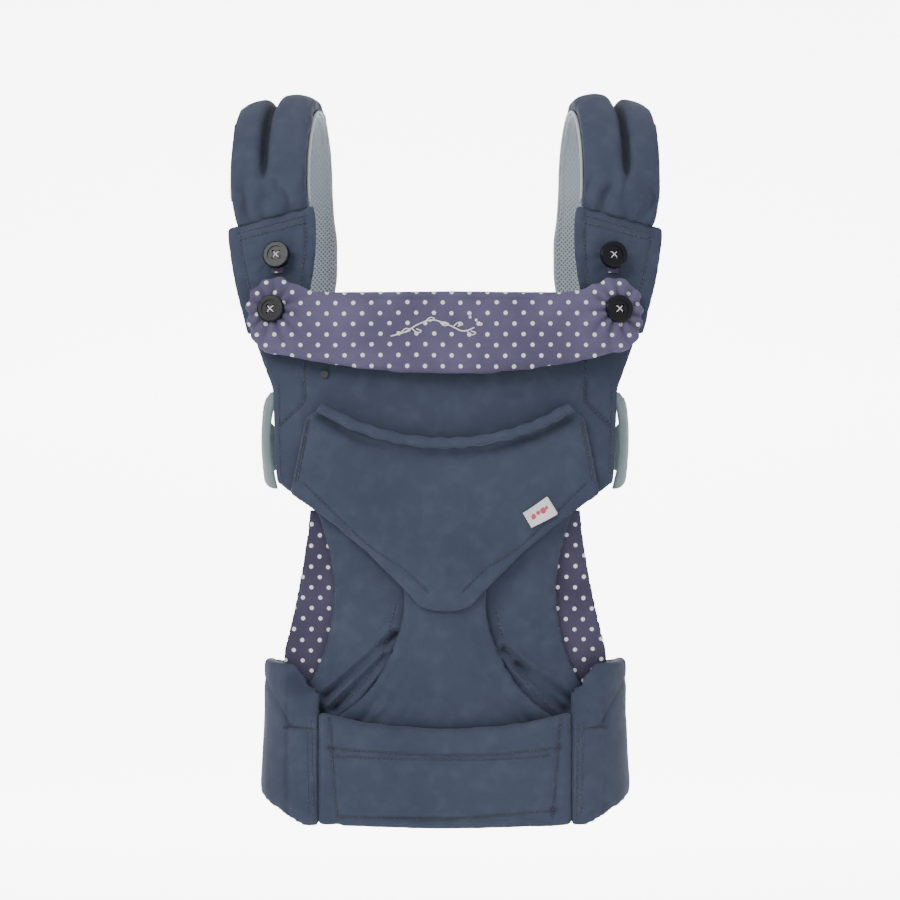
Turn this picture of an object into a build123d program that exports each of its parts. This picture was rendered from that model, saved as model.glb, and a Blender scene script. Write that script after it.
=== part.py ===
"""Soft baby carrier, worn upright: millimetres, +Z up, the front panel faces -Y.

X = 0 is the middle of the carrier, left is -X, as seen from the front.
Z = 0 is the lower edge of the waist belt, Y = 0 is inside the wearer's torso.
Every soft piece is a plain closed solid of the right size and place.
"""

import os
from math import asin, cos, radians, sin, sqrt

from build123d import *

os.makedirs("parts", exist_ok=True)

# ---- driving sizes -------------------------------------------------------------------
panel_top = 541.0  # upper edge of the carrier's panel
hem_outer_z = 609.0  # where a shoulder strap's padding starts, outer edge
hem_inner_z = 629.0  # the same at its inner edge
crest_z = 737.0  # top of the shoulder straps

# the front of the carrier is one barrel-shaped surface, swept round a far axis
wrap_axis_y = 700.0
front_radius = 822.0
bulge_radius = 1500.0
bulge_z = 330.0

panel_thickness = 9.0
thigh_thickness = 5.0
lining_thickness = 3.0
shield_thickness = 6.0
layer_gap = 1.0

# waist belt
belt_half_width = 126.5
belt_height = 103.0
belt_rise = 15.0  # how much higher the top edge is at the side seams
belt_thickness = 13.0
belt_foam_thickness = 7.0
belt_foam_inset = 10.0
wing_thickness = 12.0
wing_gap = 0.5
wing_hip_radius = 71.0
wing_back_radius = 122.0
belt_webbing_z = 105.0

# head support, folded down over the panel
support_depth = 10.0  # its inner face stands this far in front of the panel
support_thickness = 12.0
support_foam_thickness = 5.0
support_foam_inset = 9.0
fold_axis_y = -112.0
fold_axis_z = 556.0

# buttons
button_diameter = 28.0
button_thickness = 6.0
button_hole_diameter = 2.6
button_hole_pitch = 6.5
button_stand_off = 1.5
lower_button = (174.0, 522.0)
upper_button = (170.0, 578.0)
loop_width = 12.0
loop_thickness = 1.5
loop_depth = 5.0
loop_low_z = 560.0
loop_high_z = 588.0

# shoulder straps
strap_centre_x = 176.0
strap_width = 80.0
strap_thickness = 16.0
strap_cover_thickness = 4.0
strap_mesh_thickness = 4.0
strap_turn = 7.0  # each strap turns inwards by this angle as it goes back
arch_depth = 160.0
rear_bend_z = 520.0
rear_bend_radius = 60.0
strap_end_length = 30.0
ply_gap = 0.25

# hardware
side_webbing = 25.0
belt_webbing = 38.0
webbing_thickness = 2.0
buckle_rest_gap = 3.0
slot_clearance = 0.5
side_line_length = 98.0  # from the underarm wing's tip to the end of the padding
side_line_clearance = 3.5  # the buckle's line stands this far off the strap's padding
side_line_offset = strap_thickness / 2 + side_line_clearance
side_line_shift = 10.0  # and this far inwards

chest_strap_z = 535.0
chest_rail_width = 20.0
chest_rail_length = 96.0

# ---- shared surfaces and helpers ------------------------------------------------------
bulge_centre = front_radius - bulge_radius
left, right = -1, 1
sweep_angle = 40.0
far = 900.0


def radius_at(z, depth=0.0):
    """Distance of the panel's surface from the far axis at height z, depth mm behind the front."""
    return bulge_centre + sqrt(bulge_radius**2 - (z - bulge_z) ** 2) - depth


def front_y(x, z, depth=0.0):
    """Y of the panel's surface."""
    return wrap_axis_y - sqrt(radius_at(z, depth) ** 2 - x**2)


def front_plane(x, z, depth=0.0):
    """A plane on the panel's surface whose normal points out of the front."""
    reach = radius_at(z, depth)
    across = sqrt(1 - (x / reach) ** 2)
    tilt = (z - bulge_z) / sqrt(bulge_radius**2 - (z - bulge_z) ** 2)
    return Plane(
        origin=(x, front_y(x, z, depth), z),
        x_dir=(across, x / reach, 0),
        z_dir=(x / reach, -across, tilt),
    )


def layer(front, thickness, low=80.0, high=650.0):
    """A curved slab that follows the panel, from depth front to front + thickness."""
    middle = (low + high) / 2
    outer = [(wrap_axis_y - radius_at(z, front), z) for z in (low, middle, high)]
    inner = [(wrap_axis_y - radius_at(z, front + thickness), z) for z in (high, middle, low)]
    edges = [
        ThreePointArc(*outer),
        Line(outer[-1], inner[0]),
        ThreePointArc(*inner),
        Line(inner[-1], outer[0]),
    ]
    axis = Axis((0, wrap_axis_y, 0), (0, 0, 1))
    slab = revolve(Plane.YZ * make_face(edges), axis, sweep_angle)
    return slab.rotate(axis, -sweep_angle / 2)


def stretch(points):
    """A line through two points, or an arc through three."""
    return Line(*points) if len(points) == 2 else ThreePointArc(*points)


def mirrored(points):
    """The same points on the other side of the middle."""
    return [(-x, z) for x, z in points]


def front_prism(stretches):
    """A block with this outline in X and Z, long enough to cut every layer."""
    face = Plane.XZ * make_face([stretch(points) for points in stretches])
    return extrude(face, amount=far / 2, both=True)


def on_side(shape, side):
    """A shape made on the left, kept there or mirrored to the right."""
    return shape if side == left else mirror(shape, about=Plane.YZ)


def as_solid(shape):
    """One plain solid from the result of a cut."""
    solids = shape.solids()
    return solids[0] if len(solids) == 1 else Compound(solids)


def block(x, y, z):
    """A box from three (low, high) pairs."""
    size = [high - low for low, high in (x, y, z)]
    middle = [(high + low) / 2 for low, high in (x, y, z)]
    return Pos(*middle) * Box(*size)


parts = {}
sides = {"left": left, "right": right}


# ---- front panels ------------------------------------------------------------------------
base_inner = [(-133.0, hem_inner_z), (-131.0, 600.0), (-137.0, panel_top)]
base_outer = [(-218.0, hem_outer_z), (-214.0, 575.0), (-196.0, 500.0)]
base_low_z = 500.0
base_low_inner_x = -130.0
waist_side = [(-195.5, base_low_z - wing_gap), (-174.5, 443.0)]
side_low = (-170.0, 349.0)
side_foot = (-138.0, 325.0)
step_inner_x = base_low_inner_x + wing_gap


def chest_outline():
    half = [
        [(-136.5, panel_top), (step_inner_x, base_low_z - wing_gap)],
        [(step_inner_x, base_low_z - wing_gap), waist_side[0]],
        waist_side,
        [waist_side[1], side_low],
        [side_low, side_foot],
    ]
    shared = [[(-136.5, panel_top), (136.5, panel_top)], [side_foot, mirrored([side_foot])[0]]]
    return half + [mirrored(points) for points in half] + shared


parts["chest_panel"] = front_prism(chest_outline()) & layer(0, panel_thickness)

pocket_corner = (-126.0, 424.0)
pocket_dip_z = 388.0
shield_shoulder = (-141.0, 413.0)
shield_side = (-156.0, 337.0)
shield_tip = (-26.0, 224.0)


def shield_outline():
    half = [
        [pocket_corner, shield_shoulder],
        [shield_shoulder, shield_side],
        [shield_side, side_foot],
        [side_foot, (-85.0, 284.0), shield_tip],
    ]
    shared = [
        [pocket_corner, (0, pocket_dip_z), mirrored([pocket_corner])[0]],
        [shield_tip, (0, 219.0), mirrored([shield_tip])[0]],
    ]
    return half + [mirrored(points) for points in half] + shared


shield_front = -shield_thickness - layer_gap
parts["shield_panel"] = front_prism(shield_outline()) & layer(shield_front, shield_thickness)

# rolled piping along the pocket's mouth
piping_radius = 5.5
piping_depth = shield_front - piping_radius - layer_gap
piping_ends = [(x, front_y(x, pocket_corner[1], piping_depth), pocket_corner[1]) for x in (-126, 126)]
piping_dip = (0, front_y(0, pocket_dip_z, piping_depth), pocket_dip_z)
piping_path = ThreePointArc(piping_ends[0], piping_dip, piping_ends[1])
piping_section = Plane(origin=piping_ends[0], z_dir=piping_path % 0) * Circle(piping_radius)
parts["pocket_piping"] = sweep(piping_section, path=piping_path)

# seat, thigh panels and leg linings
seat_waist = (-41.0, 225.0)
seat_hip = (-108.0, 112.0)
seat_top_z = 318.0
seat_low_z = 97.0
seat_half = [
    [(-42.0, seat_top_z), seat_waist],
    [seat_waist, (-58.0, 166.0), seat_hip],
    [seat_hip, (-112.0, seat_low_z)],
]
seat_shared = [
    [(-42.0, seat_top_z), (42.0, seat_top_z)],
    [(-112.0, seat_low_z), (112.0, seat_low_z)],
]
seat_outline = seat_half + [mirrored(points) for points in seat_half] + seat_shared
parts["seat_panel"] = front_prism(seat_outline) & layer(0, panel_thickness)

thigh_depth = panel_thickness + layer_gap
thigh_outline = [
    [(-20.0, 323.0), (-132.0, 323.0)],
    [(-132.0, 323.0), (-111.0, 245.0), (-147.0, 131.0)],
    [(-147.0, 131.0), (-132.0, seat_low_z)],
    [(-132.0, seat_low_z), (-20.0, seat_low_z)],
    [(-20.0, seat_low_z), (-20.0, 323.0)],
]
lining_depth = thigh_depth + thigh_thickness + layer_gap
lining_outline = [
    [(-100.0, 320.0), (-134.0, 320.0)],
    [(-134.0, 320.0), (-144.0, 245.0), (-158.0, 175.0)],
    [(-158.0, 175.0), (-157.0, 135.0)],
    [(-157.0, 135.0), (-148.0, 112.0)],
    [(-148.0, 112.0), (-100.0, 112.0)],
    [(-100.0, 112.0), (-100.0, 320.0)],
]
base_outline = [
    [base_outer[0], base_inner[0]],
    base_inner,
    [base_inner[-1], (base_low_inner_x, base_low_z)],
    [(base_low_inner_x, base_low_z), base_outer[-1]],
    base_outer,
]
thigh_block = front_prism(thigh_outline) & layer(thigh_depth, thigh_thickness)
lining_block = front_prism(lining_outline) & layer(lining_depth, lining_thickness)
base_block = front_prism(base_outline) & layer(0, panel_thickness)
for name, side in sides.items():
    parts[f"thigh_panel_{name}"] = on_side(thigh_block, side)
    parts[f"leg_lining_{name}"] = on_side(lining_block, side)
    parts[f"strap_base_{name}"] = on_side(base_block, side)

# woven label on the right edge of the shield, and a press stud under the head support
label_size = (30.0, 19.0, 1.2)
label_place = front_plane(94.0, 318.0, shield_front - layer_gap - label_size[2])
parts["side_label"] = label_place * Rot(0, 0, 31) * Box(*label_size)
snap_radius = 4.0
snap_height = 3.0
parts["hood_snap"] = front_plane(-121.0, 457.0, -snap_height / 2 - ply_gap) * Cylinder(snap_radius, snap_height)


# ---- head support ---------------------------------------------------------------------------
def support_outline(inset):
    """The flap's outline, drawn in by inset all round."""
    side_x = 200.0 - inset
    top = panel_top - inset
    ear_top = (-165.0, fold_axis_z - inset)
    ear_side = (-side_x, 517.0)
    ear_foot = (-186.0 + inset, 480.0 + inset)
    half = [
        [(-112.0, top), (-140.0, top + 4.5), ear_top],
        [ear_top, (-side_x + 7, 545.0 - inset / 2), ear_side],
        [ear_side, (-side_x + 3.5, 497.0), ear_foot],
    ]
    shared = [
        [(-112.0, top), (112.0, top)],
        [ear_foot, (0, 455.0 + inset), mirrored([ear_foot])[0]],
    ]
    return half + [mirrored(points) for points in half] + shared


support_front = -support_depth - support_thickness
foam_front = support_front + (support_thickness - support_foam_thickness) / 2
support_block = front_prism(support_outline(0)) & layer(support_front, support_thickness)
foam_block = front_prism(support_outline(support_foam_inset)) & layer(foam_front, support_foam_thickness)
foam_space = front_prism(support_outline(support_foam_inset - ply_gap)) & layer(
    foam_front - ply_gap, support_foam_thickness + 2 * ply_gap
)
parts["head_support_cover"] = support_block - foam_space
parts["head_support_foam"] = foam_block


# ---- buttons ------------------------------------------------------------------------------------
def button():
    """A four-hole button with a raised rim, its face towards +Z, its back on Z = 0."""
    body = Pos(0, 0, button_thickness / 2) * Cylinder(button_diameter / 2, button_thickness)
    body = fillet(body.edges(), 1.6)
    dish = Pos(0, 0, button_thickness) * Cylinder(button_diameter * 0.32, 2.4)
    hole = Cylinder(button_hole_diameter / 2, 4 * button_thickness)
    holes = GridLocations(button_hole_pitch, button_hole_pitch, 2, 2) * hole
    return body - dish - holes


for name, side in sides.items():
    x, z = lower_button
    place = front_plane(side * x, z, support_front - button_stand_off)
    parts[f"lower_button_{name}"] = place * button()
    x, z = upper_button
    place = front_plane(side * x, z, -loop_depth - loop_thickness - 2 * button_stand_off)
    parts[f"upper_button_{name}"] = place * button()
    loop_middle = (loop_low_z + loop_high_z) / 2
    place = front_plane(side * x, loop_middle, -loop_depth)
    loop = Box(loop_width, loop_high_z - loop_low_z, loop_thickness)
    parts[f"button_loop_{name}"] = place * loop

# ---- waist belt --------------------------------------------------------------------------------
belt_axis = (0, wrap_axis_y, 0)


def belt_slab(outer, thickness):
    """An upright curved slab behind the belt's front face."""
    ring = Cylinder(outer, far) - Cylinder(outer - thickness, far)
    return Pos(*belt_axis) * ring


def belt_outline(inset):
    x = belt_half_width - inset
    low = inset
    high = belt_height - inset
    side_low_z = low + 4.0
    side_high_z = high + belt_rise
    return [
        [(-x, side_high_z), (0, high), (x, side_high_z)],
        [(x, side_high_z), (x, side_low_z)],
        [(x, side_low_z), (0, low), (-x, side_low_z)],
        [(-x, side_low_z), (-x, side_high_z)],
    ]


foam_start = front_radius - (belt_thickness - belt_foam_thickness) / 2
near_half = block((-far, far), (-far, 0), (-far, far))
belt_block = front_prism(belt_outline(0)) & belt_slab(front_radius, belt_thickness) & near_half
belt_foam = front_prism(belt_outline(belt_foam_inset)) & belt_slab(foam_start, belt_foam_thickness) & near_half
belt_space = front_prism(belt_outline(belt_foam_inset - ply_gap)) & near_half
belt_space = belt_space & belt_slab(foam_start + ply_gap, belt_foam_thickness + 2 * ply_gap)
parts["belt_cover"] = belt_block - belt_space
parts["belt_foam"] = belt_foam

# the wings: from the side seam round the hip to the back
seam_x = belt_half_width + wing_gap
seam_angle = asin(seam_x / front_radius)
seam_y = wrap_axis_y - front_radius * cos(seam_angle)
hip_centre = (seam_x - wing_hip_radius * sin(seam_angle), seam_y + wing_hip_radius * cos(seam_angle))
hip_x = hip_centre[0] + wing_hip_radius
back_centre = (hip_x - wing_back_radius, hip_centre[1])
back_y = back_centre[1] + wing_back_radius


def wing_edge(depth):
    """Plan of one face of the right wing: the seam, the hip and the back end."""
    hip = wing_hip_radius - depth
    back = wing_back_radius - depth
    middle_angle = (seam_angle + radians(90)) / 2
    turn = radians(45)
    seam = (hip_centre[0] + hip * sin(seam_angle), hip_centre[1] - hip * cos(seam_angle))
    front = (hip_centre[0] + hip * sin(middle_angle), hip_centre[1] - hip * cos(middle_angle))
    side = (hip_centre[0] + hip, hip_centre[1])
    rear = (back_centre[0] + back * cos(turn), back_centre[1] + back * sin(turn))
    end = (back_centre[0], back_centre[1] + back)
    return [seam, front, side], [side, rear, end]


wing_outer = wing_edge(0)
wing_inner = wing_edge(wing_thickness)
wing_plan = [
    *wing_outer,
    [wing_outer[1][-1], wing_inner[1][-1]],
    *wing_inner,
    [wing_inner[0][0], wing_outer[0][0]],
]
wing_profile = [
    (-125, 3),
    (-106, 10),
    (-93, 24),
    (-76, 38),
    (-42, 50),
    (20, 60),
    (90, 75),
    (90, 135),
    (20, 158),
    (-42, 168),
    (-97, 166),
    (-105, 128),
    (-125, 118),
]
wing_column = extrude(make_face([stretch(points) for points in wing_plan]), amount=200)
wing_cut = extrude(Plane.YZ * make_face(Polyline(*wing_profile, close=True)), amount=far, both=True)
past_seam = block((seam_x, far), (-far, 0), (-far, far))  # the seam's end is cut square
behind = block((0, far), (0, far), (-far, far))
right_wing = wing_column & wing_cut & (past_seam + behind)
left_wing = mirror(right_wing, about=Plane.YZ)
parts["belt_wing_right"] = right_wing
parts["belt_wing_left"] = left_wing


# ---- side-release buckles -------------------------------------------------------------------------
# local frame: X = 0 is the socket's mouth, the plug is at +X, Y is the thickness, Z the width
class Buckle:
    """Sizes of one side-release buckle, from the webbing that it holds."""

    def __init__(self, webbing):
        self.webbing = webbing
        self.half_width = webbing / 2 + 6.5
        self.half_thickness = webbing * 0.1 + 3.2
        self.wall = 2.0
        self.socket_length = webbing * 0.8 + 17
        self.prong_length = webbing * 0.45 + 13
        self.base_length = 20.0
        self.prong_width = webbing * 0.16 + 1
        self.prong_thickness = 2 * (self.half_thickness - self.wall - 0.7)
        self.prong_offset = self.half_width - self.wall - 0.9 - self.prong_width / 2
        self.base_start = buckle_rest_gap + self.prong_length
        self.base_end = self.base_start + self.base_length
        self.travel = self.base_start - 1.0

    def socket(self):
        length, half = self.socket_length, self.half_width
        body = block((-length, 0), (-self.half_thickness, self.half_thickness), (-half, half))
        body = fillet(body.edges().filter_by(Axis.Y), 3.5)
        body = fillet(body.faces().filter_by(Axis.Y).edges(), 1.0)
        bar = 12.0
        inner = self.half_thickness - self.wall
        cavity = block((-length + bar, 1), (-inner, inner), (-half + self.wall, half - self.wall))
        window_length = self.prong_length * 0.5
        window_start = -length + bar + 3
        windows = block((window_start, window_start + window_length), (-inner, inner), (-far, far))
        slot_half = self.webbing / 2 + slot_clearance
        slot = block((-length + 3.5, -length + 7.5), (-far, far), (-slot_half, slot_half))
        return body - cavity - windows - slot

    def plug(self):
        half = self.half_width - 1.0
        thick = self.half_thickness - 0.8
        body = block((self.base_start, self.base_end), (-thick, thick), (-half, half))
        body = fillet(body.edges().filter_by(Axis.Y), 2.5)
        slot_half = self.webbing / 2 + slot_clearance
        slot_thick = webbing_thickness / 2 + slot_clearance
        slot = block((self.base_start + 6, far), (-slot_thick, slot_thick), (-slot_half, slot_half))
        guide = block((buckle_rest_gap + 3, self.base_start + 1), (-2, 2), (-2.5, 2.5))
        return body - slot + guide

    def prong(self, sign):
        """A springy side prong, from the plug's base to its hooked tip."""
        low = self.prong_offset - self.prong_width / 2
        high = self.prong_offset + self.prong_width / 2
        tip = buckle_rest_gap
        root = self.base_start - 0.4
        shoulder = tip + self.prong_length * 0.45
        points = [(root, low), (tip + 2, low), (tip, low + 1.5), (tip + 3, high)]
        points += [(shoulder, high), (shoulder, high - 2), (root, high - 2)]
        face = Plane.XZ * make_face(Polyline(*points, close=True))
        arm = extrude(face, amount=self.prong_thickness / 2, both=True)
        return arm if sign > 0 else mirror(arm, about=Plane.XY)

    def prong_pivot(self, sign):
        """Where a prong bends: at its root."""
        return (self.base_start - 0.4, sign * (self.prong_offset - 1))


def ladder(webbing, length):
    """A ladder lock: webbing runs through it along X."""
    half = webbing / 2 + 4
    thick = webbing_thickness / 2 + 2.5
    body = block((0, length), (-thick, thick), (-half, half))
    body = fillet(body.edges().filter_by(Axis.Y), 2.5)
    passage_half = webbing / 2 + slot_clearance
    passage_thick = webbing_thickness / 2 + slot_clearance
    passage = block((-1, length + 1), (-passage_thick, passage_thick), (-passage_half, passage_half))
    gap = block((length * 0.35, length * 0.65), (0, far), (-passage_half, passage_half))
    return body - passage - gap


def webbing_strip(start, end, width):
    """Flat webbing along X."""
    half = webbing_thickness / 2
    return block((start, end), (-half, half), (-width / 2, width / 2))


side_buckle = Buckle(side_webbing)
belt_buckle = Buckle(belt_webbing)

# belt hardware: the line runs along X behind the wings' ends
belt_line_y = back_y + 5.0
belt_mouth_x = -14.0
belt_line = Plane(origin=(belt_mouth_x, belt_line_y, belt_webbing_z), x_dir=(1, 0, 0), z_dir=(0, 0, 1))
belt_ladder_start = back_centre[0] + 2 - belt_mouth_x
belt_ladder_length = 24.0
belt_tail_end = belt_ladder_start + belt_ladder_length + 20
parts["belt_socket"] = belt_line * belt_buckle.socket()
parts["belt_plug"] = belt_line * belt_buckle.plug()
parts["belt_prong_upper"] = belt_line * belt_buckle.prong(1)
parts["belt_prong_lower"] = belt_line * belt_buckle.prong(-1)
belt_ladder = belt_line * Pos(belt_ladder_start, 0, 0) * ladder(belt_webbing, belt_ladder_length)
# a tab under the ladder and one under the socket's webbing are sewn to the wings
tab_x = (belt_mouth_x + belt_ladder_start, belt_mouth_x + belt_ladder_start + belt_ladder_length)
tab_z = (belt_webbing_z - belt_webbing / 2, belt_webbing_z + belt_webbing / 2)
tab_root = back_y - wing_thickness / 2
ladder_under = belt_ladder.bounding_box().min.Y
ladder_tab = block(tab_x, (tab_root, ladder_under), tab_z) - right_wing
parts["belt_ladder"] = belt_ladder + ladder_tab
plug_webbing_start = belt_buckle.base_start + 6.5
parts["belt_webbing_right"] = belt_line * webbing_strip(plug_webbing_start, belt_tail_end, belt_webbing)
anchor_start = -belt_tail_end - 2 * belt_mouth_x
socket_bar = -belt_buckle.socket_length - 0.4
webbing_tab = block((-tab_x[1], -tab_x[0]), (tab_root, belt_line_y), tab_z) - left_wing
parts["belt_webbing_left"] = belt_line * webbing_strip(anchor_start, socket_bar, belt_webbing) + webbing_tab

# ---- shoulder straps ------------------------------------------------------------------------------
# local frame: X along the width, Y backwards from the front face, Z the carrier's own height
strap_front_y = front_y(strap_centre_x, hem_outer_z)
strap_places = {
    name: Plane(
        origin=(side * strap_centre_x, strap_front_y, 0),
        x_dir=(cos(radians(strap_turn)), side * sin(radians(strap_turn)), 0),
        z_dir=(0, 0, 1),
    )
    for name, side in sides.items()
}
arch_radius = arch_depth / 2
arch_z = crest_z - arch_radius
end_turn = radians(45)
bend_centre_y = arch_depth - strap_thickness / 2 - rear_bend_radius
line_dir = (cos(end_turn), sin(end_turn))  # from the wing's tip up to the padding's end


def band_side(depth):
    """The line of one face of the padding, depth mm in from the outer face."""
    arch = arch_radius - depth
    bend = rear_bend_radius + strap_thickness / 2 - depth
    start = (depth, hem_outer_z - 20)
    front = (depth, arch_z)
    top = (arch_radius, arch_z + arch)
    rear = (arch_depth - depth, arch_z)
    low = (arch_depth - depth, rear_bend_z)
    half = end_turn / 2
    bent = (bend_centre_y + bend * cos(half), rear_bend_z - bend * sin(half))
    turned = (bend_centre_y + bend * cos(end_turn), rear_bend_z - bend * sin(end_turn))
    end = (turned[0] - strap_end_length * line_dir[0], turned[1] - strap_end_length * line_dir[1])
    return [[start, front], [front, top, rear], [rear, low], [low, bent, turned], [turned, end]]


def band(front, thickness):
    """One ply of a strap: an arch over the shoulder that ends under the arm."""
    outer = band_side(front)
    inner = band_side(front + thickness)
    ends = [[outer[0][0], inner[0][0]], [outer[-1][-1], inner[-1][-1]]]
    face = Plane.YZ * make_face([stretch(points) for points in outer + inner + ends])
    return extrude(face, amount=strap_width / 2, both=True)


def hem_cut(side):
    """Everything below the slanted hem where the padding starts."""
    half = strap_width / 2 + 6
    slope = (hem_inner_z - hem_outer_z) / strap_width
    outer_z = hem_outer_z + 1.0
    inner_z = outer_z + slope * 2 * half
    points = [(-half, outer_z), (half, inner_z), (half, 540), (-half, 540)]
    face = Plane.XZ * make_face(Polyline(*points, close=True))
    prism = extrude(face, amount=strap_thickness + 20, both=True)
    return prism if side == left else mirror(prism, about=Plane.YZ)


cover_ply = band(0, strap_cover_thickness)
foam_ply = band(
    strap_cover_thickness + ply_gap,
    strap_thickness - strap_cover_thickness - strap_mesh_thickness - 2 * ply_gap,
)
mesh_ply = band(strap_thickness - strap_mesh_thickness, strap_mesh_thickness)

# the buckle's line, in the strap's own frame
bend_end_y = bend_centre_y + rear_bend_radius * cos(end_turn)
bend_end_z = rear_bend_z - rear_bend_radius * sin(end_turn)
padding_end = (bend_end_y - strap_end_length * line_dir[0], bend_end_z - strap_end_length * line_dir[1])
tip = (padding_end[0] - side_line_length * line_dir[0], padding_end[1] - side_line_length * line_dir[1])
tip = (tip[0] + side_line_offset * line_dir[1], tip[1] - side_line_offset * line_dir[0])
wing_loop_length = 4.0
mouth_along = wing_loop_length + side_buckle.socket_length
mouth = (tip[0] + mouth_along * line_dir[0], tip[1] + mouth_along * line_dir[1])


def side_line(side):
    """The side buckle's frame in the strap's frame, with X up along the webbing."""
    x_dir = (0, line_dir[0], line_dir[1])
    z_dir = (1, 0, 0)
    return Plane(origin=(-side * side_line_shift, *mouth), x_dir=x_dir, z_dir=z_dir)


side_ladder_start = side_line_length - mouth_along + 3
side_ladder_length = 20.0
side_tail_end = side_ladder_start + side_ladder_length + 14
rail_depth = arch_depth + 0.4
for name, side in sides.items():
    place = strap_places[name]
    line = side_line(side)
    cut = hem_cut(side)
    parts[f"strap_cover_{name}"] = place * (cover_ply - cut)
    parts[f"strap_foam_{name}"] = place * (foam_ply - cut)
    parts[f"strap_mesh_{name}"] = place * (mesh_ply - cut)
    side_ladder = Pos(side_ladder_start, 0, 0) * ladder(side_webbing, side_ladder_length)
    parts[f"strap_ladder_{name}"] = place * (line * side_ladder)
    rail = block(
        (-chest_rail_width / 2, chest_rail_width / 2),
        (rail_depth, rail_depth + webbing_thickness),
        (chest_strap_z - 14, chest_strap_z - 14 + chest_rail_length),
    )
    parts[f"chest_rail_{name}"] = place * rail
    parts[f"side_socket_{name}"] = place * (line * side_buckle.socket())
    parts[f"side_plug_{name}"] = place * (line * side_buckle.plug())
    parts[f"side_prong_inner_{name}"] = place * (line * side_buckle.prong(-side))
    parts[f"side_prong_outer_{name}"] = place * (line * side_buckle.prong(side))
    strip = webbing_strip(side_buckle.base_start + 6.5, side_tail_end, side_webbing)
    parts[f"side_webbing_{name}"] = place * (line * strip)

# ---- underarm wings -----------------------------------------------------------------------------------
wing_tip = strap_places["left"].from_local_coords((side_line_shift, *tip))
body_edge_x = -172.0
underarm_top_z = 442.0
body_edge_y = front_y(body_edge_x, underarm_top_z, panel_thickness) + layer_gap
bow_x = -184.0
underarm_thickness = 3.5
bow_middle = (bow_x, (body_edge_y + wing_tip.Y) / 2)
end_outer = (wing_tip.X - 3.0, wing_tip.Y - 3.0)
plan_outer = [(body_edge_x - 3.0, body_edge_y), bow_middle, end_outer]
plan_inner = [(x + underarm_thickness, y) for x, y in plan_outer]
plan = [
    plan_outer,
    plan_inner,
    [plan_outer[0], plan_inner[0]],
    [plan_outer[-1], plan_inner[-1]],
]
underarm_column = extrude(make_face([stretch(points) for points in plan]), amount=600)
underarm_profile = [
    (body_edge_y - 10, underarm_top_z),
    (body_edge_y + 10, underarm_top_z - 2),
    (wing_tip.Y + 2, wing_tip.Z + 14),
    (wing_tip.Y + 2, wing_tip.Z - 12),
    (body_edge_y + 10, 342.0),
    (body_edge_y - 10, 340.0),
]
underarm_cut = extrude(Plane.YZ * make_face(Polyline(*underarm_profile, close=True)), amount=far, both=True)
underarm = underarm_column & underarm_cut
parts["underarm_wing_left"] = underarm
parts["underarm_wing_right"] = mirror(underarm, about=Plane.YZ)

# ---- chest strap, across the back between the shoulder straps ---------------------------------------
chest_buckle = Buckle(chest_rail_width)
rear_face = strap_places["left"].from_local_coords((0, rail_depth + webbing_thickness, 0))
slider_size = (30.0, 7.0, 27.0)
slider_near_y = rear_face.Y + 2.6
chest_line_y = slider_near_y + slider_size[1] / 2
chest_line = Plane(origin=(0, chest_line_y, chest_strap_z), x_dir=(-1, 0, 0), z_dir=(0, 0, 1))
slider_x = -rear_face.X
slot_half = chest_rail_width / 2 + slot_clearance
slot_thick = webbing_thickness / 2 + slot_clearance
slider_slot = block((-far, far), (-slot_thick, slot_thick), (-slot_half, slot_half))
slider = fillet(Box(*slider_size).edges().filter_by(Axis.Y), 3) - slider_slot
for name, side in sides.items():
    parts[f"chest_slider_{name}"] = chest_line * Pos(-side * slider_x, 0, 0) * slider
chest_plug = chest_buckle.plug() + chest_buckle.prong(1) + chest_buckle.prong(-1)
prong_root = block(
    (chest_buckle.base_start - 1, chest_buckle.base_start + 1),
    (-2, 2),
    (-chest_buckle.prong_offset, chest_buckle.prong_offset),
)
parts["chest_plug"] = chest_line * (chest_plug + prong_root)
parts["chest_socket"] = chest_line * chest_buckle.socket()
chest_webbing_end = slider_x + 18
strip = webbing_strip(chest_buckle.base_start + 6.5, chest_webbing_end, chest_rail_width)
parts["chest_webbing_left"] = chest_line * strip
strip = webbing_strip(-chest_webbing_end, -chest_buckle.socket_length - 0.4, chest_rail_width)
parts["chest_webbing_right"] = chest_line * strip

# ---- joint positions, printed for the record -----------------------------------------------------------
print("fold axis", fold_axis_y, fold_axis_z)
print("wing hinge", seam_x, seam_y, "back face", back_y, "belt line", belt_line_y)
print("strap hinge", strap_centre_x, strap_front_y, hem_outer_z)
print("travel side, belt, chest", side_buckle.travel, belt_buckle.travel, chest_buckle.travel)
for name, side in sides.items():
    place = strap_places[name]
    line = side_line(side)
    for label, sign in (("inner", -side), ("outer", side)):
        pivot = side_buckle.prong_pivot(sign)
        local = line.from_local_coords((pivot[0], 0, pivot[1]))
        print("side prong pivot", name, label, place.from_local_coords(local))
    print("side line", name, place.from_local_coords(Vector(-side * side_line_shift, *mouth)))
for sign in (1, -1):
    pivot = belt_buckle.prong_pivot(sign)
    print("belt prong pivot", sign, belt_line.from_local_coords((pivot[0], 0, pivot[1])))
for x, z in (lower_button, upper_button):
    spot = front_plane(x, z)
    print("button axis", spot.origin, spot.z_dir)
print("chest line", chest_line_y, "slider x", slider_x, "underarm tip", wing_tip)

for name, shape in parts.items():
    export_step(as_solid(shape), f"parts/{name}.step")
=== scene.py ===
"""Soft baby carrier: cloth, padding, stitching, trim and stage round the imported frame."""

from math import atan2, cos, exp, hypot, pi, radians, sin, sqrt

import bmesh
import bpy
from mathutils import Matrix, Vector, noise
from mathutils.bvhtree import BVHTree


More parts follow.
